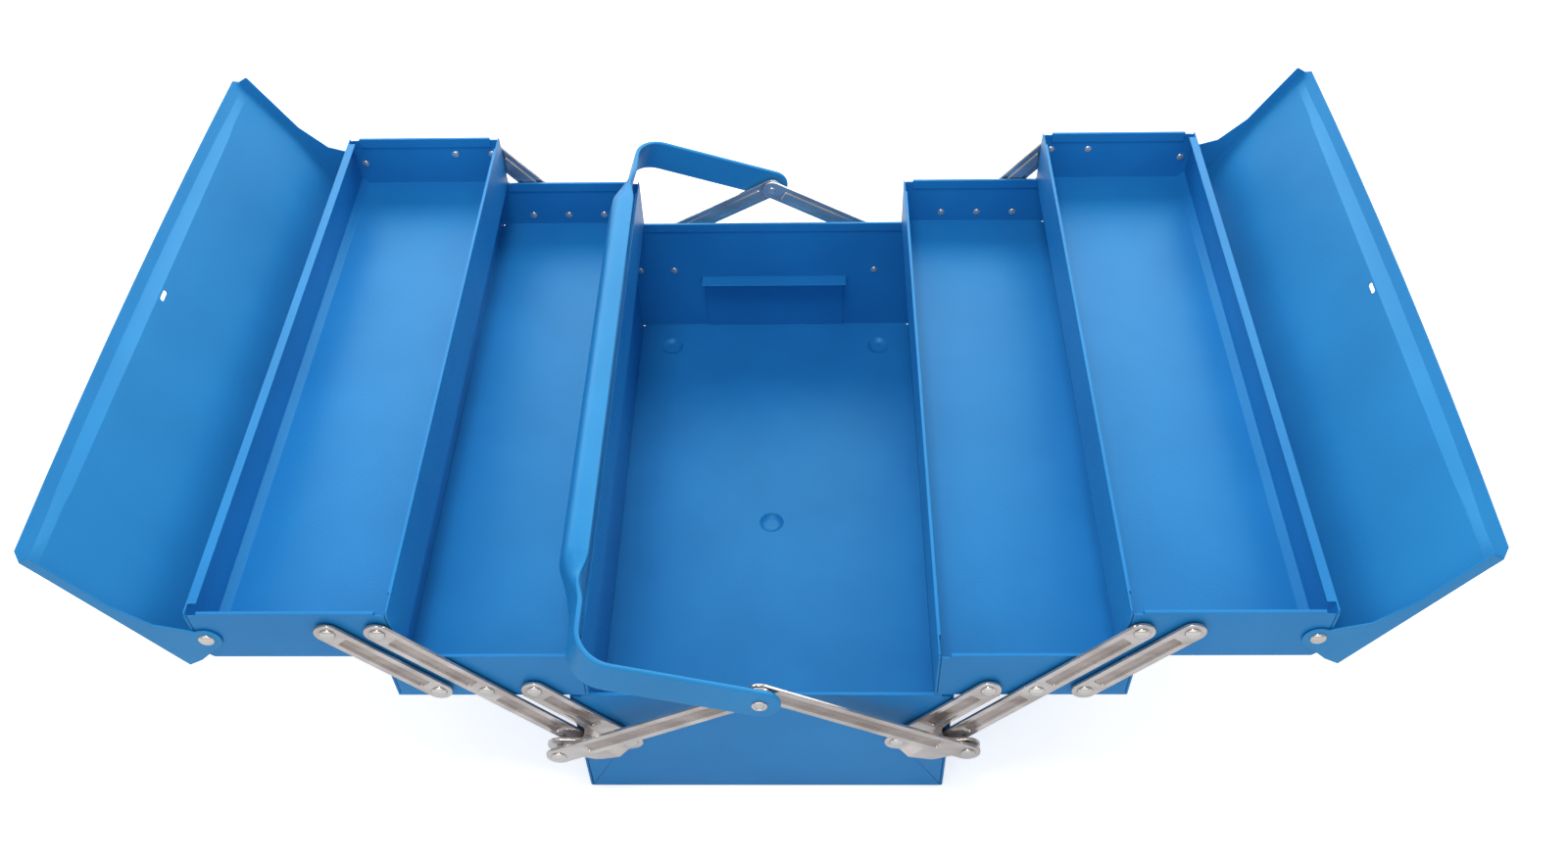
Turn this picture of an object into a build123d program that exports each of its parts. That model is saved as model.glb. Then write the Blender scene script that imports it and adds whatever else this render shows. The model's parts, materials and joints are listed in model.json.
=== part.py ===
from build123d import *

import os
from math import atan2, cos, degrees, pi, radians, sin, sqrt

os.makedirs("parts", exist_ok=True)

# Cantilever toolbox with five compartments, drawn open, in millimetres
# X is the way the trays spread, Y runs along the box, Z is up, and the front end faces -Y
# Every end piece is drawn at the front end of the right side and mirrored to the other places

# Sheet and clearances
sheet = 1.0
gap = 0.3
centre_gap = 0.4
pin_clearance = 0.05
axial_play = 0.1

# Bottom box
box_length = 420.0
box_width = 222.0
box_wall = 108.5
fold_radius = 1.6
foot_depth = 1.5
foot_radius = 9.0
foot_slope = 3.5
foot_sides = 12
foot_inset = 27.0

# Trays
tray_width = 110.2
middle_height = 40.5
top_height = 41.5
top_chamfer = 5.0
top_flange = 5.5

# Hems, seams and relief holes of the box and trays
hem_depth = 7.5
hem_inset = 7.0
hem_drop = 2.0
seam_inset = 1.3
seam_width = 0.5
seam_depth = 0.55
relief_size = 1.4
relief_inset = 2.0

# Four-bar linkage of each side
pivot_spacing = 27.2
half_link = 76.4
swing = 40.4
lower_pivot_inset = 4.0
lower_pivot_height = 60.0

# Links, as pressed plates
link_width = 15.0
link_thickness = 2.0
link_standoff = 1.4
channel_width = 8.0
channel_depth = 1.2
channel_end = 9.5
channel_foot = 19.0
channel_taper = 35.0
ridge_height = 1.0

# Crank arm that carries the handle link
arm_standoff = 6.0
arm_run = 41.4
arm_rise = 3.8
arm_ramp_start = 7.6
arm_ramp_end = 12.4
arm_ramp_shift = 1.0
arm_belly_run = 20.7
arm_belly_drop = 3.0
arm_belly_radius = 9.5
arm_corner_radius = 6.0
leg_channel_start = 27.5

# Handle links and strap, as layers out from the end wall
right_link_standoff = 10.6
left_link_standoff = 13.1
strap_standoff = 17.3

# Handle
handle_pivot_height = 131.0
handle_reach = 109.0
handle_tilt = 18.5
strap_thickness = 3.0
strap_width = 24.0
bend_radius = 22.0
grip_depth = 14.0
grip_roll_radius = 7.5
grip_start = 16.0
grip_transition = 37.0
grip_stations = 3
grip_roll_sides = 4
flat_share = 0.03
flat_lip = 0.2

# Rivets and their holes, with few sides to keep the model light
rivet_sides = 8
shank_radius = 1.9
spacer_radius = 3.6
head_radius = 4.5
head_tip_radius = 2.6
head_height = 1.8
tail_radius = 2.9
tail_height = 0.9
ring_height = 0.9
ring_recess_radius = 2.7
ring_recess_depth = 0.5
collar_height = 0.2

# Lids, drawn closed about the hinge with X along the panel
lid_hinge_inset = 6.5
lid_hinge_height = 19.0
lid_edge_gap = 0.8
lid_standoff = 0.5
lid_rise = 27.6
lid_overhang = 12.9
lid_lip = 10.0
lid_flange = 7.4
lid_tab_radius = 8.4
lid_knee_run = 24.7
lid_knee_rise = 14.4
lid_shallow_run = 48.7
lid_open_angle = 59.5
lid_crease = 14.0
lid_ramp = 6.3
lid_crown = 7.0
lid_crown_steps = 8
lid_crown_end = 0.14
lid_corner = 5.0
slot_length = 9.0
slot_width = 3.0
slot_inset = 17.0

# Ledge inside the rear wall
ledge_width = 115.0
ledge_height = 54.0
ledge_depth = 11.0
ledge_foot_inset = 2.0

# Worked out from the dimensions above
half_length = box_length / 2
half_width = box_width / 2
base = foot_depth
rim = base + box_wall
reach = half_link * sin(radians(swing))
lift = half_link * cos(radians(swing))
middle_inner = centre_gap + 2 * reach
top_inner = centre_gap + 4 * reach
middle_base = rim + gap
top_base = middle_base + middle_height + gap
lid_width = tray_width + centre_gap - lid_hinge_inset - lid_edge_gap
lid_half_length = half_length + lid_standoff + sheet

# Pivots, as (X, Z) in the end view
long_foot = Vector(half_width - lower_pivot_inset, base + lower_pivot_height)
long_middle = long_foot + Vector(reach, lift)
long_top = long_middle + Vector(reach, lift)
crank_foot = long_foot - Vector(pivot_spacing, 0)
crank_top = long_middle - Vector(pivot_spacing, 0)
crank_arm = crank_foot + Vector(arm_run, arm_rise)
short_foot = long_middle + Vector(pivot_spacing, 0)
short_top = long_top + Vector(pivot_spacing, 0)
lid_pivot = Vector(top_inner + tray_width - lid_hinge_inset, top_base + lid_hinge_height)
handle_pivot = Vector(0, base + handle_pivot_height)

# Layers of the end pieces, as (inner, outer) face out from the end wall
wall_layer = (-sheet, 0)
link_layer = (link_standoff, link_standoff + link_thickness)
arm_layer = (arm_standoff, arm_standoff + link_thickness)
right_layer = (right_link_standoff, right_link_standoff + link_thickness)
left_layer = (left_link_standoff, left_link_standoff + link_thickness)
strap_layer = (strap_standoff, strap_standoff + strap_thickness)
lid_layer = (lid_standoff, lid_standoff + sheet)


def slab(sketch, layer):
    """Plate of the front end, from a sketch in the end view."""
    front = Plane(origin=(0, -half_length - layer[0], 0), x_dir=(1, 0, 0), z_dir=(0, -1, 0))
    return extrude(front * sketch, amount=layer[1] - layer[0])


def block(x0, x1, y0, y1, z0, z1):
    return Pos((x0 + x1) / 2, (y0 + y1) / 2, (z0 + z1) / 2) * Box(abs(x1 - x0), abs(y1 - y0), abs(z1 - z0))


def to_rear(shape):
    return mirror(shape, about=Plane.XZ)


def to_left(shape):
    return mirror(shape, about=Plane.YZ)


def facing(side, shape):
    return shape if side == "right" else to_left(shape)


def at(point):
    return Pos(point.X, point.Y)


def bearing(start, end):
    """Angle of the way from one pivot to another, in degrees."""
    run = end - start
    return degrees(atan2(run.Y, run.X))


def bar(start, end, width):
    """Bar with round ends from one pivot to another."""
    length = (end - start).length
    return at((start + end) / 2) * Rot(0, 0, bearing(start, end)) * SlotCenterToCenter(length, width)


def eye(point, layer):
    """Hole in a plate that turns on a rivet: its flats clear the shank's corners."""
    hole = RegularPolygon(shank_radius + pin_clearance, rivet_sides, major_radius=False)
    return slab(at(point) * hole, layer)


def seat(point, layer):
    """Hole that a rivet is set in."""
    return slab(at(point) * RegularPolygon(shank_radius, rivet_sides), layer)


def turned(profile):
    """Stack of frusta along Z, from its (Z, radius) steps."""
    body = Part()
    for low, high in zip(profile, profile[1:]):
        if high[0] > low[0]:
            rings = [Pos(0, 0, z) * RegularPolygon(radius, rivet_sides) for z, radius in (low, high)]
            body += loft(rings, ruled=True)
    return body


def outward(point, shape):
    """Set a shape drawn along Z on a pivot of the front end, with Z pointing out."""
    return Pos(point.X, -half_length, point.Y) * Rot(90, 0, 0) * shape


def press_channel(plate, start, end, layer, start_end, end_end):
    """Press a tapered channel into a plate from outside, which raises a ridge inside."""
    unit = (end - start).normalized()
    near = start + unit * start_end
    far = end - unit * end_end
    turn = Rot(0, 0, bearing(start, end))
    outline = at((near + far) / 2) * turn * Rectangle((far - near).length, channel_width)
    outer_face, inner_face = (
        Plane(origin=(0, -half_length - face, 0), x_dir=(1, 0, 0), z_dir=(0, -1, 0)) for face in layer[::-1]
    )
    cut = extrude(outer_face * outline, amount=-channel_depth, taper=channel_taper)
    ridge = extrude(inner_face * outline, amount=-ridge_height, taper=channel_taper)
    return plate - cut + ridge


def link(pivots, layer, first_end=channel_end):
    """Straight pressed link through two or three pivots."""
    body = slab(bar(pivots[0], pivots[-1], link_width), layer)
    for start, end in zip(pivots, pivots[1:]):
        near = first_end if start is pivots[0] else channel_end
        body = press_channel(body, start, end, layer, near, channel_end)
    for point in pivots:
        body -= eye(point, layer)
    return body


def crank_outline():
    """End view of the crank: a leg, and an arm with a full belly and a round inner corner."""
    belly = crank_foot + Vector(arm_belly_run, -arm_belly_drop)
    rounds = at(crank_foot) * Circle(link_width / 2) + at(crank_arm) * Circle(link_width / 2)
    rounds += at(belly) * Circle(arm_belly_radius)
    outline = bar(crank_foot, crank_top, link_width) + make_hull(rounds.edges())
    leg = (crank_top - crank_foot).normalized()
    arm = (crank_arm - crank_foot).normalized()
    half_angle = radians(leg.get_angle(arm)) / 2
    inner_corner = crank_foot + (leg + arm).normalized() * (link_width / 2 / sin(half_angle))
    corner = outline.vertices().sort_by(lambda v: (Vector(v.X, v.Y) - inner_corner).length)[0]
    return fillet(corner, arm_corner_radius)


def crank():
    """Bell crank: a flat leg, and an arm that steps out over the long link's foot."""
    # The sheet's section across the leg: flat, ramp, flat
    inner, outer = link_layer
    arm_inner, arm_outer = arm_layer
    far = 2 * half_link
    section = Polyline(
        (-far, inner), (arm_ramp_start, inner), (arm_ramp_end, arm_inner), (far, arm_inner),
        (far, arm_outer), (arm_ramp_end - arm_ramp_shift, arm_outer),
        (arm_ramp_start - arm_ramp_shift, outer), (-far, outer), close=True,
    )
    leg = (crank_top - crank_foot).normalized()
    across = Vector(leg.Y, 0, -leg.X)
    origin = (crank_foot.X, -half_length, crank_foot.Y)
    bent_plane = Plane(origin=origin, x_dir=across, z_dir=across.cross(Vector(0, -1, 0)))
    bent_sheet = extrude(bent_plane * make_face(section), amount=far, both=True)
    body = bent_sheet & slab(crank_outline(), (0, arm_outer))
    body = press_channel(body, crank_foot, crank_top, link_layer, leg_channel_start, channel_end)
    body -= eye(crank_foot, (0, arm_outer)) + eye(crank_top, (0, arm_outer))
    return body - seat(crank_arm, (0, arm_outer))


def rivet(point, carrier, plate):
    """Rivet set in a carrier; the plate turns on its shank, under its head."""
    inner, outer = carrier
    top = plate[1] + axial_play
    return outward(point, turned([
        (inner - tail_height, tail_radius), (inner, tail_radius), (inner, shank_radius), (top, shank_radius),
        (top, head_radius), (top + head_height, head_tip_radius),
    ]))


def handle_rivet():
    """Rivet that the strap turns on: flat ring head, shank, and a spacer in front of the left link."""
    spacer_back = left_layer[1] + axial_play
    spacer_front = strap_layer[0] - axial_play
    top = strap_layer[1] + axial_play
    crest = top + ring_height
    body = turned([
        (spacer_back, spacer_radius), (spacer_front, spacer_radius), (spacer_front, shank_radius),
        (top, shank_radius), (top, head_radius), (crest, head_radius),
    ])
    recess = turned([(crest - ring_recess_depth, ring_recess_radius), (crest, ring_recess_radius)])
    return outward(handle_pivot, body - recess)


def handle_pin():
    """Length of the same rivet that the left link carries, with a thin collar behind."""
    inner, outer = left_layer
    back = inner - axial_play
    return outward(handle_pivot, turned([
        (back - collar_height, tail_radius), (back, tail_radius), (back, shank_radius), (outer, shank_radius),
    ]))


def handle_tail():
    """Tail end of the same rivet, in the right link."""
    inner, outer = right_layer
    return outward(handle_pivot, turned([
        (inner - tail_height, tail_radius), (inner, tail_radius), (inner, shank_radius),
        (outer, shank_radius),
    ]))


def along_box(outline, half):
    """End-view outline run along the box, as far as half each way."""
    rear = Plane(origin=(0, half, 0), x_dir=(1, 0, 0), z_dir=(0, -1, 0))
    return extrude(rear * outline, amount=2 * half)


def hems(x0, x1, top, outer_hem=True):
    """Folded hems inside the rim; they stop short of the corners."""
    bottom = top - hem_depth
    end_face = half_length - sheet
    end_hem = block(x0 + hem_inset, x1 - hem_inset, -end_face, sheet - end_face, bottom, top)
    body = end_hem + to_rear(end_hem)
    y_end = half_length - 2 * hem_inset
    body += block(x0 + sheet, x0 + 2 * sheet, -y_end, y_end, bottom, top)
    if outer_hem:
        body += block(x1 - 2 * sheet, x1 - sheet, -y_end, y_end, bottom, top)
    return body


def corner_work(x0, x1, floor, top):
    """What is cut at the corners: stepped hem ends, seam grooves and floor relief holes."""
    cut = Part()
    for x, inward in ((x0, 1), (x1, -1)):
        seam = x + inward * seam_inset
        cut += block(x, x + inward * hem_inset, -half_length, sheet - half_length, top - hem_drop, top)
        cut += block(seam, seam + inward * seam_width, -half_length, seam_depth - half_length,
                     floor + 2 * sheet, top)
        hole = Pos(x + inward * relief_inset, relief_inset - half_length, floor)
        cut += hole * Box(relief_size, relief_size, 3 * sheet)
    return cut + to_rear(cut)


def wall_holes(points):
    """Rivet holes through both end walls."""
    front = Part() + [seat(point, wall_layer) for point in points]
    return front + to_rear(front)


def press_foot(body, x, y):
    """Press one round foot out of the floor."""
    steps = ((0, foot_radius - foot_slope), (foot_depth, foot_radius))
    foot = loft([Pos(x, y, z) * RegularPolygon(radius, foot_sides) for z, radius in steps], ruled=True)
    return body + foot - Pos(0, 0, sheet) * foot


def bottom_box():
    outline = Pos(0, base + box_wall / 2) * Rectangle(box_width, box_wall)
    room = Pos(0, base + sheet + box_wall / 2) * Rectangle(box_width - 2 * sheet, box_wall)
    body = along_box(outline, half_length) - along_box(room, half_length - sheet)
    body = fillet(body.edges().filter_by(Axis.Y).group_by(Axis.Z)[0], fold_radius)
    body += hems(-half_width, half_width, rim)
    body -= corner_work(-half_width, half_width, base, rim)
    foot_x = half_width - foot_inset
    foot_y = half_length - foot_inset
    body = press_foot(body, 0, 0)
    for x in (-foot_x, foot_x):
        for y in (-foot_y, foot_y):
            body = press_foot(body, x, y)
    right_holes = wall_holes([long_foot, crank_foot])
    return body - right_holes - to_left(right_holes)


def tray_outline(x0, z0, height, chamfer, inset):
    """End view of a tray, inset by the sheet for its inside; chamfered at its outer foot."""
    x_in = x0 + inset
    x_out = x0 + tray_width - inset
    low = z0 + inset
    high = z0 + height + inset
    slope = max(chamfer - inset * (2 - sqrt(2)), 0)
    foot = [(x_out - slope, low), (x_out, low + slope)] if slope else [(x_out, low)]
    return make_face(Polyline((x_in, low), *foot, (x_out, high), (x_in, high), close=True))


def tray(x0, z0, height, chamfer, outer_hem, points):
    """Open tray of folded sheet with hems, corner work and rivet holes."""
    body = along_box(tray_outline(x0, z0, height, chamfer, 0), half_length)
    body -= along_box(tray_outline(x0, z0, height, chamfer, sheet), half_length - sheet)
    body += hems(x0, x0 + tray_width, z0 + height, outer_hem)
    return body - corner_work(x0, x0 + tray_width, z0, z0 + height) - wall_holes(points)


def middle_tray():
    pivots = [long_middle, short_foot, crank_top]
    return tray(middle_inner, middle_base, middle_height, 0, True, pivots)


def top_tray():
    """Top tray; its outer rim is a flange that the lid's hinge side covers."""
    body = tray(top_inner, top_base, top_height, top_chamfer, False, [long_top, short_top, lid_pivot])
    far = top_inner + tray_width
    top = top_base + top_height
    y_end = half_length - hem_inset
    return body + block(far - top_flange, far - sheet, -y_end, y_end, top - sheet, top)


def lid_edge_section(y):
    """Section of the lid's free edge: crease, ramp and a raised lip, highest at mid-length."""
    crown = lid_crown * (1 - (y / lid_half_length) ** 2) + lid_crown_end
    start = lid_width - lid_crease
    step = start + lid_ramp
    raised = lid_rise + crown
    face = make_face(Polyline(
        (start, lid_rise - sheet), (step, raised - sheet), (lid_width, raised - sheet),
        (lid_width, raised), (step, raised), (start, lid_rise), close=True,
    ))
    return Plane(origin=(0, y, 0), x_dir=(1, 0, 0), z_dir=(0, -1, 0)) * face


def lid_end_flange():
    """Flange of one end: shallow along the panel, with a round tab at the hinge."""
    shallow = lid_rise - lid_flange
    outline = make_face(Polyline(
        (-lid_overhang, lid_rise), (-lid_overhang, lid_rise - lid_lip), (-lid_tab_radius, 0),
        (lid_tab_radius, 0), (lid_knee_run, lid_knee_rise), (lid_shallow_run, shallow),
        (lid_width, shallow), (lid_width, lid_rise), close=True,
    ))
    return slab(outline + Circle(lid_tab_radius), lid_layer) - eye(Vector(0, 0), lid_layer)


def lid():
    """Right lid, drawn closed about its hinge with X along the panel."""
    half = lid_half_length
    body = block(-lid_overhang, lid_width - lid_crease, -half, half, lid_rise - sheet, lid_rise)
    body += block(-lid_overhang, sheet - lid_overhang, -half, half, lid_rise - lid_lip, lid_rise)
    stations = [half * (2 * number / lid_crown_steps - 1) for number in range(lid_crown_steps + 1)]
    body += loft([lid_edge_section(y) for y in stations], ruled=True)
    flange = lid_end_flange()
    body += flange + to_rear(flange)
    corner = make_face(Polyline(
        (lid_width, -half), (lid_width, lid_corner - half), (lid_width - lid_corner, -half), close=True))
    trim = extrude(corner, amount=2 * lid_rise)
    slot_place = Pos(lid_width - slot_inset, 0, lid_rise) * Rot(0, 0, 90)
    slot = slot_place * extrude(SlotOverall(slot_length, slot_width), amount=2 * sheet, both=True)
    return body - trim - to_rear(trim) - slot


def open_lid():
    """The right lid swung open to its rest angle on its hinge."""
    opening = Rot(0, 180 - lid_open_angle, 0)
    return Pos(lid_pivot.X, 0, lid_pivot.Y) * opening * to_left(lid())


def grip_face(share, y):
    """Section of the grip, from a nearly flat strap to a full outward roll at share 1, with few sides."""
    angle = pi / 2 * share
    lip = (grip_depth - grip_roll_radius) * share + flat_lip
    web = strap_width / 2 - grip_roll_radius * sin(angle) - lip * cos(angle)
    centre = Vector(grip_roll_radius, web)
    turns = [angle * number / grip_roll_sides for number in range(grip_roll_sides + 1)]
    upper = []
    for radius in (grip_roll_radius, grip_roll_radius - strap_thickness):
        side = [centre + Vector(-radius * cos(turn), radius * sin(turn)) for turn in turns]
        side.append(side[-1] + Vector(sin(angle), cos(angle)) * lip)
        upper.append(side)
    outer, inner = upper
    half = outer + inner[::-1]
    bulge = (grip_depth - strap_thickness) * (share - flat_share)
    plane = Plane(origin=(-handle_reach - bulge, y, 0), x_dir=(1, 0, 0), z_dir=(0, -1, 0))
    return plane * make_face(Polyline(*half, *(Vector(p.X, -p.Y) for p in half[::-1]), close=True))


def handle_arm(outer_y, flat_end):
    """Front arm of the strap about its pivot, with the bend at its far end."""
    inner_x = strap_thickness - handle_reach
    outer_line = FilletPolyline((strap_width, -outer_y), (-handle_reach, -outer_y), (-handle_reach, 0),
                                radius=bend_radius)
    inner_line = FilletPolyline((inner_x, 0), (inner_x, strap_thickness - outer_y),
                                (strap_width, strap_thickness - outer_y), radius=bend_radius - strap_thickness)
    closing = [Line((-handle_reach, 0), (inner_x, 0)),
               Line((strap_width, strap_thickness - outer_y), (strap_width, -outer_y))]
    half = strap_width / 2
    strip = extrude(make_face(Curve() + [outer_line, inner_line] + closing), amount=half, both=True)
    strip &= block(-handle_reach, half, -outer_y, flat_end, -half, half)
    nose = Circle(half) + Pos(-handle_reach / 2, 0) * Rectangle(handle_reach, strap_width)
    return (strip & slab(nose, (-half_length, outer_y))) - eye(Vector(0, 0), strap_layer)


def handle():
    """Strap handle, tilted to rest on the left tray."""
    outer_y = half_length + strap_layer[1]
    flat_end = bend_radius + grip_start - outer_y
    stations = [number / grip_stations for number in range(grip_stations + 1)]
    faces = [grip_face(max(share, flat_share), flat_end + grip_transition * share) for share in stations]
    half = handle_arm(outer_y, flat_end) + loft(faces, ruled=True)
    half += extrude(faces[-1], amount=flat_end + grip_transition)
    body = half + to_rear(half)
    return Pos(handle_pivot.X, 0, handle_pivot.Y) * Rot(0, handle_tilt, 0) * body


def rear_ledge():
    """Angle bracket on the inside of the rear wall."""
    wall = half_length - sheet
    half = ledge_width / 2
    top = base + ledge_height
    foot = half - ledge_foot_inset
    upright = block(-foot, foot, wall - sheet, wall, base + sheet, top)
    return upright + block(-half, half, wall - ledge_depth, wall, top - sheet, top)


nodes = {}


def add_pair(name, side, shape):
    """A front and a rear node of one end piece."""
    nodes[f"{name}_front_{side}"] = facing(side, shape)
    nodes[f"{name}_rear_{side}"] = to_rear(facing(side, shape))


def add_rivets(name, shapes):
    """Identical rivets of one body, front and rear, as separate solids in one node."""
    nodes[name] = Compound(children=shapes + [to_rear(shape) for shape in shapes])


nodes["bottom_box"] = bottom_box()
nodes["rear_ledge"] = rear_ledge()
lower_rivets = [rivet(point, wall_layer, link_layer) for point in (long_foot, crank_foot)]
add_rivets("box_rivets", lower_rivets + [to_left(shape) for shape in lower_rivets])

for side, handle_layer in (("right", right_layer), ("left", left_layer)):
    nodes[f"middle_tray_{side}"] = facing(side, middle_tray())
    nodes[f"top_tray_{side}"] = facing(side, top_tray())
    nodes[f"lid_{side}"] = facing(side, open_lid())
    add_pair("long_link", side, link([long_foot, long_middle, long_top], link_layer, channel_foot))
    add_pair("short_link", side, link([short_foot, short_top], link_layer))
    add_pair("crank_link", side, crank())
    add_pair("handle_link", side, link([crank_arm, handle_pivot], handle_layer, channel_foot))
    middle_rivets = [rivet(point, wall_layer, link_layer) for point in (long_middle, short_foot, crank_top)]
    top_rivets = [rivet(point, wall_layer, link_layer) for point in (long_top, short_top)]
    top_rivets.append(rivet(lid_pivot, wall_layer, lid_layer))
    add_rivets(f"middle_tray_rivets_{side}", [facing(side, shape) for shape in middle_rivets])
    add_rivets(f"top_tray_rivets_{side}", [facing(side, shape) for shape in top_rivets])
    add_rivets(f"crank_rivets_{side}", [facing(side, rivet(crank_arm, arm_layer, handle_layer))])

nodes["handle"] = handle()
add_rivets("handle_rivets", [handle_rivet()])
add_rivets("handle_link_pins", [handle_pin()])
add_rivets("handle_link_tails", [handle_tail()])

for name, shape in nodes.items():
    solids = shape.solids()
    export_step(shape if len(solids) > 1 else solids[0], f"parts/{name}.step")
    low, high = shape.bounding_box().min, shape.bounding_box().max
    print(name, len(solids), round(sum(solid.volume for solid in solids)), [round(v, 1) for v in (*low, *high)])
print("nodes", len(nodes))
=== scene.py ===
import json
from math import atan2, cos, pi, radians, sin

import bmesh
import bpy
from mathutils import Matrix, Vector

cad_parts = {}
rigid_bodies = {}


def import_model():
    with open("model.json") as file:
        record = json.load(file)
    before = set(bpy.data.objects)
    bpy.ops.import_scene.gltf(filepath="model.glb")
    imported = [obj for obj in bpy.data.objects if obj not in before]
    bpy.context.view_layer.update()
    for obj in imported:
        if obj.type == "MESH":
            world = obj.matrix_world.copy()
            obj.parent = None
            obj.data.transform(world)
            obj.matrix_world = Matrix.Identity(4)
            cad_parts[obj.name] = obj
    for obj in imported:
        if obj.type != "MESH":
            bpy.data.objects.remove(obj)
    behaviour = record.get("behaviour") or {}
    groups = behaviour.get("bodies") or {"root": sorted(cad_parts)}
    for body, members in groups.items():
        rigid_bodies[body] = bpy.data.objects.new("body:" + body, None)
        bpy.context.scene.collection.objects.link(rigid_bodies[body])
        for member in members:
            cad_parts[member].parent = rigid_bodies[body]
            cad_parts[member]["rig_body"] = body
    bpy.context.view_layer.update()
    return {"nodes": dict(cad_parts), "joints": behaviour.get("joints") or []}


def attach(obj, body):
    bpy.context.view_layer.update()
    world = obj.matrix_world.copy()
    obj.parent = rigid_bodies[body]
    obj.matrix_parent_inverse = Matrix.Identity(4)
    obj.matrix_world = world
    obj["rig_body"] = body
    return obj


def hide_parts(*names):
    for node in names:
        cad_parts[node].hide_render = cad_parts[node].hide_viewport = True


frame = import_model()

# Lengths are in metres: X the way the trays spread, Y along the box, Z up
MM = 0.001
nodes = frame["nodes"]
joint_places = {joint["name"]: Vector(joint["pos_m"]) for joint in frame["joints"]}
scene = bpy.context.scene


def link(obj):
    """Adds an object to the scene."""
    scene.collection.objects.link(obj)
    return obj


# Camera, from the fit of the box to the photograph
IMAGE_WIDTH = 1600
FOCAL_PIXELS = 1441.06
SENSOR = 36.0
CAMERA_PLACE = Vector((29.93, -637.24, 817.88)) * MM
CAMERA_DOWN = radians(48.238)
CAMERA_YAW = radians(-1.715)
CAMERA_ROLL = radians(-1.532)
NEAREST = 10 * MM
FARTHEST = 50.0


def make_camera():
    """Camera that looks down at the box, turned a little and rolled a little."""
    data = bpy.data.cameras.new("camera")
    data.sensor_width = SENSOR
    data.lens = FOCAL_PIXELS / IMAGE_WIDTH * SENSOR
    data.clip_start = NEAREST
    data.clip_end = FARTHEST
    heading = Vector((sin(CAMERA_YAW), cos(CAMERA_YAW), 0))
    ahead = heading * cos(CAMERA_DOWN) - Vector((0, 0, sin(CAMERA_DOWN)))
    level = Vector((cos(CAMERA_YAW), -sin(CAMERA_YAW), 0))
    upright = level.cross(ahead)
    right = level * cos(CAMERA_ROLL) + upright * sin(CAMERA_ROLL)
    up = upright * cos(CAMERA_ROLL) - level * sin(CAMERA_ROLL)
    turn = Matrix((right, up, -ahead)).transposed()
    obj = link(bpy.data.objects.new("camera", data))
    obj.matrix_world = Matrix.Translation(CAMERA_PLACE) @ turn.to_4x4()
    return obj


scene.camera = make_camera()
scene.view_settings.view_transform = "Standard"


# Noise seldom leaves the span between these two values, so colours and numbers are spread over it
NOISE_LOW = 0.3
NOISE_HIGH = 0.7

# Numbers of the sockets of a colour mix
MIX_SHARE = 0
MIX_FIRST = 6
MIX_SECOND = 7
MIX_RESULT = 2


class Shader:
    """A material's node tree, with short calls to add and join nodes."""

    def __init__(self, name):
        self.material = bpy.data.materials.new(name)
        self.material.use_nodes = True
        self.tree = self.material.node_tree
        self.tree.nodes.clear()
        self.output = self.add("ShaderNodeOutputMaterial")

    def add(self, kind, **settings):
        """Adds a node and sets its options."""
        node = self.tree.nodes.new(kind)
        for key, value in settings.items():
            setattr(node, key, value)
        return node

    def join(self, source, target):
        """Joins an output to an input."""
        self.tree.links.new(source, target)

    def noise(self, scale, detail=2.0, stretch=(1, 1, 1)):
        """Noise that stays with the object."""
        where = self.add("ShaderNodeTexCoord")
        grow = self.add("ShaderNodeMapping")
        grow.inputs["Scale"].default_value = stretch
        noise = self.add("ShaderNodeTexNoise")
        noise.inputs["Scale"].default_value = scale
        noise.inputs["Detail"].default_value = detail
        self.join(where.outputs["Object"], grow.inputs["Vector"])
        self.join(grow.outputs["Vector"], noise.inputs["Vector"])
        return noise.outputs["Fac"]

    def colours(self, source, dark, light, low=NOISE_LOW, high=NOISE_HIGH):
        """Colours from dark, where the source is low, to light, where it is high."""
        node = self.add("ShaderNodeValToRGB")
        for stop, place, colour in zip(node.color_ramp.elements, (low, high), (dark, light)):
            stop.position = place
            stop.color = (*colour, 1)
        self.join(source, node.inputs["Fac"])
        return node.outputs["Color"]

    def numbers(self, source, least, most):
        """Numbers from least to most, spread over a noise."""
        node = self.add("ShaderNodeMapRange")
        node.inputs["From Min"].default_value = NOISE_LOW
        node.inputs["From Max"].default_value = NOISE_HIGH
        node.inputs["To Min"].default_value = least
        node.inputs["To Max"].default_value = most
        self.join(source, node.inputs["Value"])
        return node.outputs["Result"]

    def emboss(self, base, height, strength, depth):
        """Lets a noise raise and lower the surface."""
        bump = self.add("ShaderNodeBump")
        bump.inputs["Strength"].default_value = strength
        bump.inputs["Distance"].default_value = depth
        self.join(height, bump.inputs["Height"])
        self.join(bump.outputs["Normal"], base.inputs["Normal"])


# Blue powder coat, with noise scales in waves per metre
SHADE_SCALE = 14.0
FLECK_SCALE = 900.0
PEEL_SCALE = 700.0
PEEL_DETAIL = 3.0
PEEL_STRENGTH = 0.2
PEEL_DEPTH = 0.4 * MM
COAT_SMOOTHEST = 0.33
COAT_ROUGHEST = 0.44
COAT_SHEEN = 0.42
COAT_SHEEN_TINT = (0.30, 0.95, 1.0, 1)


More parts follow.
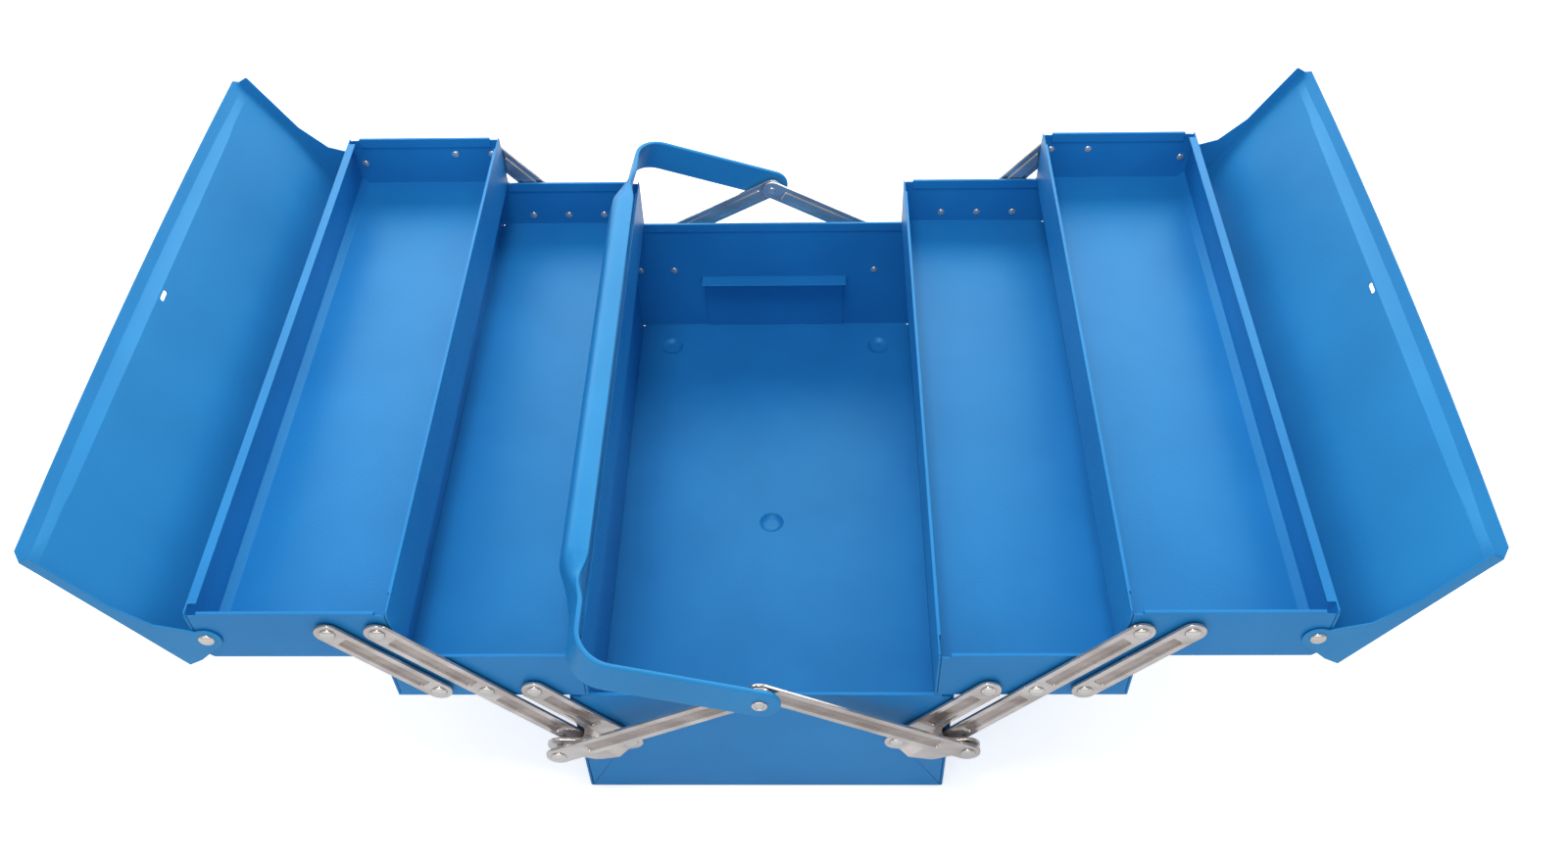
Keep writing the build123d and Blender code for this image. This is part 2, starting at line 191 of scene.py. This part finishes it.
def powder_coat(name, dark, light):
    """Blue powder coat with fine orange peel."""
    shader = Shader(name)
    base = shader.add("ShaderNodeBsdfPrincipled")
    shade = shader.noise(SHADE_SCALE)
    fleck = shader.noise(FLECK_SCALE)
    peel = shader.noise(PEEL_SCALE, PEEL_DETAIL)
    shader.join(shader.colours(shade, dark, light), base.inputs["Base Color"])
    shader.join(shader.numbers(fleck, COAT_SMOOTHEST, COAT_ROUGHEST), base.inputs["Roughness"])
    shader.emboss(base, peel, PEEL_STRENGTH, PEEL_DEPTH)
    base.inputs["Specular IOR Level"].default_value = COAT_SHEEN
    base.inputs["Specular Tint"].default_value = COAT_SHEEN_TINT
    shader.join(base.outputs["BSDF"], shader.output.inputs["Surface"])
    return shader.material


# Plated steel, with noise scales in waves per metre
CLOUD_SCALE = 30.0
CLOUD_DETAIL = 2.0
CLOUD_STRETCH = (1, 1, 3)
STREAK_SCALE = 110.0
STREAK_DETAIL = 2.0
STREAK_STRETCH = (0.35, 1, 1)
STREAK_STRENGTH = 0.05
STREAK_DEPTH = 0.2 * MM
STREAK_SMOOTHER = 0.04
STREAK_ROUGHER = 0.06
# Painted shade: in narrow creases the steel's colour is multiplied towards this brown grey, from ambient
# occlusion, to stand in for the shade there
CREASE_PAINTED_SHADE = (0.34, 0.28, 0.25)
UNSHADED_WHITE = (1, 1, 1)
CREASE_REACH = 2.5 * MM
CREASE_SAMPLES = 8
CREASE_FULL_PAINTED_SHADE = 0.3
CREASE_NO_PAINTED_SHADE = 0.9


def with_painted_crease_shade(shader, colour):
    """The colour, with shade painted darker into narrow creases where ambient occlusion finds them."""
    open_share = shader.add("ShaderNodeAmbientOcclusion", samples=CREASE_SAMPLES)
    open_share.inputs["Distance"].default_value = CREASE_REACH
    painted_shade = shader.colours(open_share.outputs["AO"], CREASE_PAINTED_SHADE, UNSHADED_WHITE, CREASE_FULL_PAINTED_SHADE, CREASE_NO_PAINTED_SHADE)
    mix = shader.add("ShaderNodeMix", data_type="RGBA", blend_type="MULTIPLY")
    mix.inputs[MIX_SHARE].default_value = 1.0
    shader.join(colour, mix.inputs[MIX_FIRST])
    shader.join(painted_shade, mix.inputs[MIX_SECOND])
    return mix.outputs[MIX_RESULT]


def plated(name, dark, light, roughness, metallic=0.85):
    """Plated steel, a little cloudy, with shade painted darker into its creases."""
    shader = Shader(name)
    base = shader.add("ShaderNodeBsdfPrincipled")
    base.inputs["Metallic"].default_value = metallic
    cloud = shader.noise(CLOUD_SCALE, CLOUD_DETAIL, CLOUD_STRETCH)
    streak = shader.noise(STREAK_SCALE, STREAK_DETAIL, STREAK_STRETCH)
    shader.join(with_painted_crease_shade(shader, shader.colours(cloud, dark, light)), base.inputs["Base Color"])
    sheen = shader.numbers(streak, roughness - STREAK_SMOOTHER, roughness + STREAK_ROUGHER)
    shader.join(sheen, base.inputs["Roughness"])
    shader.emboss(base, streak, STREAK_STRENGTH, STREAK_DEPTH)
    shader.join(base.outputs["BSDF"], shader.output.inputs["Surface"])
    return shader.material


BLUE = powder_coat("blue_powder_coat", (0.0125, 0.170, 0.465), (0.0155, 0.198, 0.520))
# Painted light: the same blue coat made a shade lighter for the lids and the handle, to stand in for the
# light they catch
PAINTED_LIGHT_BLUE = powder_coat("powder_coat_painted_lighter", (0.0160, 0.190, 0.475), (0.0200, 0.218, 0.530))
STEEL = plated("plated_steel", (0.50, 0.455, 0.43), (0.74, 0.70, 0.68), roughness=0.18)
# Painted shade: a darker steel for the floors of the links' pressed channels, standing in for the shade in
# them
RECESS_PAINTED_SHADE_STEEL = plated("recess_painted_shade_steel", (0.33, 0.28, 0.26), (0.52, 0.46, 0.43), roughness=0.24)
RIVET_STEEL = plated("bright_steel", (0.56, 0.54, 0.52), (0.72, 0.70, 0.68), roughness=0.12, metallic=0.75)


def dress(obj, material):
    """Gives an object one material in place of its own."""
    obj.data.materials.clear()
    obj.data.materials.append(material)


# Meshes made from a node's solid, and objects made from meshes
WELD_GAP = 0.002 * MM
SLIVER = 0.001 * MM


def welded(node):
    """A node's solid with the points of neighbouring faces joined."""
    mesh = bmesh.new()
    mesh.from_mesh(nodes[node].data)
    bmesh.ops.remove_doubles(mesh, verts=mesh.verts, dist=WELD_GAP)
    bmesh.ops.dissolve_degenerate(mesh, edges=mesh.edges, dist=SLIVER)
    return mesh


def add_piece(mesh, name, node, slot, *materials):
    """Makes an object of a mesh, to stand for a node."""
    for face in mesh.faces:
        face.smooth = True
    data = bpy.data.meshes.new(name)
    mesh.to_mesh(data)
    mesh.free()
    for material in materials:
        data.materials.append(material)
    piece = link(bpy.data.objects.new(name, data))
    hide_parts(node)
    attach(piece, nodes[node]["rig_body"])
    return piece


def join_rings(mesh, ring, following):
    """Faces between two closed rings of points, each with as many points as the other."""
    for number in range(len(ring)):
        after = (number + 1) % len(ring)
        mesh.faces.new((ring[number], ring[after], following[after], following[number]))


# Rounded rims and creases of the sheet and the links; edges by a rivet's hole or a lid's slot stay plain
SHEET_EDGE = 0.3 * MM
LINK_RIM = 0.5 * MM
LINK_CREASE = 0.2 * MM
ROUNDING_STEPS = 2
LARGE_FACES_ONLY = 100
EDGE_ANGLE = radians(24)
RIM_ANGLE = radians(60)
HOLE_REACH = 3.4 * MM
SLOT_REACH = 10 * MM
SLOT_EDGE = 12 * MM


def middle(edge):
    """Middle of an edge."""
    return (edge.verts[0].co + edge.verts[1].co) / 2


def near_hole(point):
    """Whether a point is by a rivet's hole, in the end view."""
    return any((point - place).xz.length < HOLE_REACH for place in joint_places.values())


def near_slot(node, edge):
    """Whether an edge belongs to the small slot in a lid's crease, at mid-length."""
    return node.startswith("lid") and abs(middle(edge).y) < SLOT_REACH and edge.calc_length() < SLOT_EDGE


def rounded(node, slot, materials, rim, crease, mend=None):
    """A node's solid with its rims and creases rounded, in place of the node."""
    mesh = welded(node)
    if mend:
        mend(mesh)
    weight = mesh.edges.layers.float.new("bevel_weight_edge")
    for edge in mesh.edges:
        if len(edge.link_faces) != 2:
            continue
        bend = edge.calc_face_angle(0.0)
        if bend > EDGE_ANGLE and not near_hole(middle(edge)) and not near_slot(node, edge):
            edge[weight] = 1.0 if bend > RIM_ANGLE else crease / rim
        edge.smooth = bend < EDGE_ANGLE or edge[weight] > 0
    piece = add_piece(mesh, f"{node}_dressed", node, slot, *materials)
    bevel = piece.modifiers.new("edges", "BEVEL")
    bevel.limit_method = "WEIGHT"
    bevel.width = rim
    bevel.segments = ROUNDING_STEPS
    bevel.use_clamp_overlap = False
    bevel.miter_outer = "MITER_ARC"
    bevel.face_strength_mode = "FSTR_ALL"
    even = piece.modifiers.new("even_shading", "WEIGHTED_NORMAL")
    even.mode = "FACE_AREA"
    even.weight = LARGE_FACES_ONLY
    even.keep_sharp = True
    even.use_face_influence = True


# Channels pressed into the links; a face looks out of the box's end where its normal has enough of Y
FLAT_ANGLE = radians(2)
FACING_END = 0.99


def sink_floor(start):
    """Faces of the flat patch around a face, and whether it is sunk, with a wall up from every edge."""
    patch = [start]
    sunk = True
    for face in patch:
        for edge in face.edges:
            if len(edge.link_faces) != 2:
                continue
            bend = edge.calc_face_angle_signed(0.0)
            sunk = sunk and bend < EDGE_ANGLE
            if abs(bend) < FLAT_ANGLE:
                patch += [other for other in edge.link_faces if other not in patch]
    return patch, sunk


def mark_sinks(mesh):
    """Gives the floors of the pressed channels in a link the second material, a darker steel that paints
    shade into the channels.
    """
    left = [face for face in mesh.faces if abs(face.normal.y) > FACING_END]
    while left:
        patch, sunk = sink_floor(left[0])
        left = [face for face in left if face not in patch]
        for face in patch:
            face.material_index = 1 if sunk else 0


# Dents of the feet in the bottom box; the sheet's upper face is pressed deeper than its lower face
FOOT_RADIUS = 9.0 * MM
FOOT_UNDERSIDE = 0.1 * MM
DISH_DEPTH = 1.5 * MM
DISH_PRESS = 0.9 * MM
DISH_FLAT = 0.48
DISH_STEPS = 7
DISH_RIM_BAND = 0.2 * MM
SAME_PLACE = 0.02 * MM
MICROMETRE_DIGITS = 6


def foot_centres(mesh):
    """Middle of each foot's flat underside."""
    under = [vert.co.copy() for vert in mesh.verts if vert.co.z < FOOT_UNDERSIDE]
    centres = []
    for spot in under:
        near = [other for other in under if (other - spot).length < 2 * FOOT_RADIUS]
        spans = [[point[axis] for point in near] for axis in range(3)]
        centre = Vector([(min(span) + max(span)) / 2 for span in spans])
        if all((centre - other).length > FOOT_RADIUS for other in centres):
            centres.append(centre)
    return centres


def flat_distance(vert, centre):
    """Distance of a point from a centre, seen from above."""
    return (vert.co - centre).xy.length


def dish(mesh, rim, centre, depth):
    """Fills a ring of points with a smooth dish that many rings lead down to."""
    rim = sorted(rim, key=lambda vert: atan2(vert.co.y - centre.y, vert.co.x - centre.x))
    ring = rim
    for step in range(1, DISH_STEPS + 1):
        down = step / DISH_STEPS
        share = 1 - (1 - DISH_FLAT) * down
        lower = []
        for vert in rim:
            across = (vert.co - centre).xy * share
            level = vert.co.z - depth * sin(pi / 2 * down)
            lower.append(mesh.verts.new((centre.x + across.x, centre.y + across.y, level)))
        join_rings(mesh, ring, lower)
        ring = lower
    mesh.faces.new(ring)


def dish_feet(mesh):
    """Swaps each foot's plain cone for a smooth dish, above and below the sheet."""
    for centre in foot_centres(mesh):
        inside = [
            face for face in mesh.faces
            if all(flat_distance(vert, centre) < FOOT_RADIUS + SAME_PLACE for vert in face.verts)
        ]
        rims = [
            vert for face in inside for vert in face.verts
            if flat_distance(vert, centre) > FOOT_RADIUS - DISH_RIM_BAND
        ]
        levels = sorted({round(vert.co.z, MICROMETRE_DIGITS) for vert in rims})
        bmesh.ops.delete(mesh, geom=inside, context="FACES")
        for level, depth in zip(levels, (DISH_DEPTH, DISH_DEPTH + DISH_PRESS)):
            rim = {vert for vert in rims if abs(vert.co.z - level) < SAME_PLACE}
            dish(mesh, rim, centre, depth)
    bmesh.ops.recalc_face_normals(mesh, faces=mesh.faces)


# Rivets, turned with round heads
ROUND_STEPS = 32
DOME_STEPS = 7
HEAD_RADIUS = 4.5 * MM
HEAD_HEIGHT = 1.8 * MM
SHANK_RADIUS = 1.9 * MM
TAIL_RADIUS = 2.9 * MM
TAIL_HEIGHT = 0.9 * MM
SPACER_RADIUS = 3.6 * MM
RING_HEIGHT = 0.9 * MM
RING_RECESS = 2.7 * MM
RING_DEPTH = 0.5 * MM
RING_EDGE = 0.35 * MM
AXIAL_PLAY = 0.1 * MM
STRAP_THICKNESS = 3.0 * MM
RIVET_SHARP_ANGLE = radians(32)


def dome(radius, height, base):
    """Profile of a round head, from its rim to its crown."""
    steps = [pi / 2 * number / DOME_STEPS for number in range(DOME_STEPS)]
    return [(radius * cos(step), base + height * sin(step)) for step in steps] + [(0, base + height)]


def tail_dome(inner):
    """Profile of a round tail, from its crown at the inner end to its rim on the plate."""
    plate = inner + TAIL_HEIGHT
    return [(radius, 2 * plate - height) for radius, height in dome(TAIL_RADIUS, TAIL_HEIGHT, plate)][::-1]


def rivet_profiles(inner, outer):
    """Tail dome, shank and head dome, along the distance from the middle of the box."""
    head = outer - HEAD_HEIGHT
    shank = [(SHANK_RADIUS, inner + TAIL_HEIGHT), (SHANK_RADIUS, head)]
    return [tail_dome(inner) + shank + dome(HEAD_RADIUS, HEAD_HEIGHT, head)]


def ring_profiles(inner, outer):
    """A spacer behind the strap, and a flat head with a recess and a raised ring in front."""
    head = outer - RING_HEIGHT
    strap_back = head - STRAP_THICKNESS - 2 * AXIAL_PLAY
    recess = outer - RING_DEPTH
    spacer = [(0, inner), (SPACER_RADIUS, inner), (SPACER_RADIUS, strap_back), (0, strap_back)]
    side = [(0, head), (HEAD_RADIUS, head), (HEAD_RADIUS, outer - RING_EDGE)]
    ring = [(HEAD_RADIUS - RING_EDGE, outer), (RING_RECESS + RING_EDGE, outer)]
    return [spacer, side + ring + [(RING_RECESS, recess), (0, recess)]]


def tail_profiles(inner, outer):
    """Tail dome and the shank in the right link."""
    shank = [(SHANK_RADIUS, inner + TAIL_HEIGHT), (SHANK_RADIUS, outer), (0, outer)]
    return [tail_dome(inner) + shank]


def turned_ring(mesh, radius, height, place, outward):
    """Points of one ring of a turned shape, or its one point on the axis."""
    if radius == 0:
        return [mesh.verts.new(place + Vector((0, outward * height, 0)))]
    ring = []
    for number in range(ROUND_STEPS):
        angle = 2 * pi * number / ROUND_STEPS
        spot = Vector((radius * cos(angle), outward * height, radius * sin(angle)))
        ring.append(mesh.verts.new(place + spot))
    return ring


def lathe(mesh, profile, place, outward):
    """Turns a (radius, height) profile about Y; outward is the sign of Y that heights grow along."""
    rings = [turned_ring(mesh, radius, height, place, outward) for radius, height in profile]
    for ring, following in zip(rings, rings[1:]):
        if len(ring) == len(following):
            join_rings(mesh, ring, following)
            continue
        tip, rim = sorted((ring, following), key=len)
        for number in range(ROUND_STEPS):
            mesh.faces.new((rim[number], rim[(number + 1) % ROUND_STEPS], tip[0]))


def islands(node):
    """Low and high corners of each separate solid of a node."""
    mesh = welded(node)
    left = list(mesh.verts)
    boxes = []
    while left:
        found = [left[0]]
        for vert in found:
            others = [edge.other_vert(vert) for edge in vert.link_edges]
            found += [other for other in others if other not in found]
        left = [vert for vert in left if vert not in found]
        corners = [[pick(vert.co[axis] for vert in found) for axis in range(3)] for pick in (min, max)]
        boxes.append([Vector(corner) for corner in corners])
    mesh.free()
    return boxes


def turned_rivets(node, profiles):
    """Round rivets in place of a node of plain ones."""
    mesh = bmesh.new()
    for low, high in islands(node):
        outward = 1 if low.y > 0 else -1
        inner, outer = sorted((abs(low.y), abs(high.y)))
        place = Vector(((low.x + high.x) / 2, 0, (low.z + high.z) / 2))
        for profile in profiles(inner, outer):
            lathe(mesh, profile, place, outward)
    bmesh.ops.recalc_face_normals(mesh, faces=mesh.faces)
    piece = add_piece(mesh, f"{node}_dressed", node, "plated_steel", RIVET_STEEL)
    piece.data.set_sharp_from_angle(angle=RIVET_SHARP_ANGLE)


# Handle, one strap swept from one rivet to the other, with a grip rolled out of it
# STRAP_FACE is the strap's distance from the middle of the box, and HANDLE_REACH the grip's from the pivot
PIVOT_HEIGHT = joint_places["handle_swing"].z
STRAP_HALF = 12.0 * MM
STRAP_EDGE = 0.9 * MM
STRAP_FACE = 230.3 * MM
HANDLE_REACH = 109.0 * MM
HANDLE_TILT = radians(18.5)
BEND_RADIUS = 22.0 * MM
GRIP_START = 16.0 * MM
GRIP_LENGTH = 37.0 * MM
GRIP_DEPTH = 14.0 * MM
GRIP_ROLL = 7.5 * MM
BACK_POINTS = 16
EDGE_POINTS = 4
NOSE_STEPS = 8
ARM_STEPS = 6
BEND_STEPS = 12
ROLL_STEPS = 16
GRIP_STEPS = 3
HANDLE_SHARP_ANGLE = radians(40)


def ease(share):
    """0 to 1 with a gentle start and end."""
    return share * share * (3 - 2 * share)


def half_section(share, half):
    """Upper half of the strap's section as (depth, across) points, from the back round to the front."""
    turn = pi / 2 * share
    lip = (GRIP_DEPTH - GRIP_ROLL) * share
    web = half - GRIP_ROLL * sin(turn) - lip * cos(turn)
    middle_roll = GRIP_ROLL - STRAP_THICKNESS / 2
    arc = middle_roll * turn
    length = web + arc + lip

    def on_strip(run, rise):
        """Point at a run along the strip, and a rise out of its middle towards the back."""
        bend = min(max(run - web, 0) / middle_roll, turn)
        depth = GRIP_ROLL - (middle_roll + rise) * cos(bend)
        across = min(run, web) + (middle_roll + rise) * sin(bend)
        return Vector((depth, across)) + Vector((sin(bend), cos(bend))) * max(run - web - arc, 0)

    rise = STRAP_THICKNESS / 2
    edge = min(STRAP_EDGE, length / 3)
    runs = [(length - edge) * number / BACK_POINTS for number in range(BACK_POINTS + 1)]
    corner = [pi / 2 * number / EDGE_POINTS for number in range(1, EDGE_POINTS + 1)]
    back = [on_strip(run, rise) for run in runs]
    back += [on_strip(length - edge + edge * sin(step), rise - edge + edge * cos(step)) for step in corner]
    front = [on_strip(length - edge + edge * cos(step), -rise + edge - edge * sin(step)) for step in corner]
    front += [on_strip(run, -rise) for run in runs[::-1]]
    return back + front


def strap_station(reach, along, turn, share, half):
    """Ring of points of the strap: its back is at (reach, along), and turn is its way round the bend."""
    upper = half_section(share, half)
    outline = upper + [Vector((depth, -across)) for depth, across in upper[-2:0:-1]]
    bulge = (GRIP_DEPTH - STRAP_THICKNESS) * share
    ring = []
    for depth, across in outline:
        away = reach - sin(turn) * (depth - bulge)
        ring.append(Vector((
            across * sin(HANDLE_TILT) - away * cos(HANDLE_TILT),
            along + cos(turn) * (depth - bulge),
            PIVOT_HEIGHT + away * sin(HANDLE_TILT) + across * cos(HANDLE_TILT),
        )))
    return ring


def handle_stations():
    """Front half of the strap: nose, arm, bend, flat run, roll of the grip and the grip."""
    rings = []
    for number in range(1, NOSE_STEPS + 1):
        step = pi / 2 * number / NOSE_STEPS
        rings.append(strap_station(-STRAP_HALF * cos(step), -STRAP_FACE, 0, 0, STRAP_HALF * sin(step)))
    bend_reach = HANDLE_REACH - BEND_RADIUS
    for number in range(1, ARM_STEPS):
        rings.append(strap_station(bend_reach * number / ARM_STEPS, -STRAP_FACE, 0, 0, STRAP_HALF))
    bend_end = BEND_RADIUS - STRAP_FACE
    for number in range(BEND_STEPS + 1):
        turn = pi / 2 * number / BEND_STEPS
        reach = bend_reach + BEND_RADIUS * sin(turn)
        rings.append(strap_station(reach, bend_end - BEND_RADIUS * cos(turn), turn, 0, STRAP_HALF))
    flat_end = bend_end + GRIP_START
    for number in range(ROLL_STEPS + 1):
        share = number / ROLL_STEPS
        along = flat_end + GRIP_LENGTH * share
        rings.append(strap_station(HANDLE_REACH, along, pi / 2, ease(share), STRAP_HALF))
    grip_end = flat_end + GRIP_LENGTH
    for number in range(GRIP_STEPS - 1, 0, -1):
        rings.append(strap_station(HANDLE_REACH, grip_end * number / GRIP_STEPS, pi / 2, 1, STRAP_HALF))
    return rings


def make_handle():
    """Strap handle: the front half of its rings and their mirror image, joined and closed at both noses."""
    front = handle_stations()
    rear = [[Vector((point.x, -point.y, point.z)) for point in ring] for ring in front[::-1]]
    mesh = bmesh.new()
    rings = [[mesh.verts.new(point) for point in ring] for ring in front + rear]
    for ring, following in zip(rings, rings[1:]):
        join_rings(mesh, ring, following)
    for ring in (rings[0], rings[-1]):
        mesh.faces.new(ring)
    bmesh.ops.recalc_face_normals(mesh, faces=mesh.faces)
    # The handle wears the blue coat painted lighter, standing in for the light it catches
    piece = add_piece(mesh, "handle_dressed", "handle", "blue_paint", PAINTED_LIGHT_BLUE)
    piece.data.set_sharp_from_angle(angle=HANDLE_SHARP_ANGLE)


def finish_node(node):
    """Gives a node its final shape and look."""
    if node == "handle":
        make_handle()
    elif node == "handle_rivets":
        turned_rivets(node, ring_profiles)
    elif node == "handle_link_tails":
        turned_rivets(node, tail_profiles)
    elif node == "handle_link_pins":
        dress(nodes[node], RIVET_STEEL)
    elif "rivets" in node:
        turned_rivets(node, rivet_profiles)
    elif "link" in node:
        # The links' channel floors get the darker steel of painted shade
        rounded(node, "plated_steel", (STEEL, RECESS_PAINTED_SHADE_STEEL), LINK_RIM, LINK_CREASE, mark_sinks)
    elif node == "bottom_box":
        rounded(node, "blue_paint", (BLUE,), SHEET_EDGE, SHEET_EDGE, dish_feet)
    elif node.startswith("lid"):
        # The lids wear the blue coat painted lighter, standing in for the light they catch
        rounded(node, "blue_paint", (PAINTED_LIGHT_BLUE,), SHEET_EDGE, SHEET_EDGE)
    else:
        rounded(node, "blue_paint", (BLUE,), SHEET_EDGE, SHEET_EDGE)


for node in list(nodes):
    finish_node(node)


# Floor, world and lamps
FLOOR_SIZE = 24.0
FLOOR_COLOUR = (0.80, 0.80, 0.80, 1)
FLOOR_GLOW = 0.6
WHITE = (1, 1, 1, 1)
AMBIENT = 0.42
BACKDROP = 1.0
LIT_SPOT = Vector((0, 0, 100)) * MM


def make_floor():
    """Pale floor that keeps the box's shadow and glows a little towards the camera."""
    shader = Shader("floor")
    paper = shader.add("ShaderNodeBsdfDiffuse")
    paper.inputs["Color"].default_value = FLOOR_COLOUR
    glow = shader.add("ShaderNodeEmission")
    glow.inputs["Color"].default_value = WHITE
    amount = shader.add("ShaderNodeMath", operation="MULTIPLY")
    amount.inputs[1].default_value = FLOOR_GLOW
    both = shader.add("ShaderNodeAddShader")
    ray = shader.add("ShaderNodeLightPath")
    shader.join(ray.outputs["Is Camera Ray"], amount.inputs[0])
    shader.join(amount.outputs["Value"], glow.inputs["Strength"])
    shader.join(paper.outputs["BSDF"], both.inputs[0])
    shader.join(glow.outputs["Emission"], both.inputs[1])
    shader.join(both.outputs["Shader"], shader.output.inputs["Surface"])
    half = FLOOR_SIZE / 2
    corners = [(-half, -half, 0), (half, -half, 0), (half, half, 0), (-half, half, 0)]
    data = bpy.data.meshes.new("floor")
    data.from_pydata(corners, [], [(0, 1, 2, 3)])
    floor = link(bpy.data.objects.new("floor", data))
    dress(floor, shader.material)


def make_world():
    """White surroundings, dimmer as a light than the camera sees them."""
    world = bpy.data.worlds.new("studio")
    scene.world = world
    world.use_nodes = True
    tree = world.node_tree
    tree.nodes.clear()
    output = tree.nodes.new("ShaderNodeOutputWorld")
    mix = tree.nodes.new("ShaderNodeMixShader")
    for number, strength in enumerate((AMBIENT, BACKDROP), start=1):
        sky = tree.nodes.new("ShaderNodeBackground")
        sky.inputs["Color"].default_value = WHITE
        sky.inputs["Strength"].default_value = strength
        tree.links.new(sky.outputs["Background"], mix.inputs[number])
    ray = tree.nodes.new("ShaderNodeLightPath")
    tree.links.new(ray.outputs["Is Camera Ray"], mix.inputs["Fac"])
    tree.links.new(mix.outputs["Shader"], output.inputs["Surface"])


def soft_box(name, place, width, height, power):
    """Large soft lamp that looks at the middle of the box."""
    data = bpy.data.lights.new(name, "AREA")
    data.shape = "RECTANGLE"
    data.size = width
    data.size_y = height
    data.energy = power
    lamp = link(bpy.data.objects.new(name, data))
    lamp.location = place
    lamp.rotation_mode = "QUATERNION"
    lamp.rotation_quaternion = (LIT_SPOT - Vector(place)).to_track_quat("-Z", "Y")


make_floor()
make_world()
soft_box("rear key", place=(0, 1.2, 0.98), width=3.6, height=1.0, power=35)
soft_box("overhead", place=(-0.1, -0.3, 1.5), width=0.4, height=0.4, power=9)
soft_box("front fill", place=(-0.1, -1.6, 1.0), width=2.4, height=1.2, power=12)
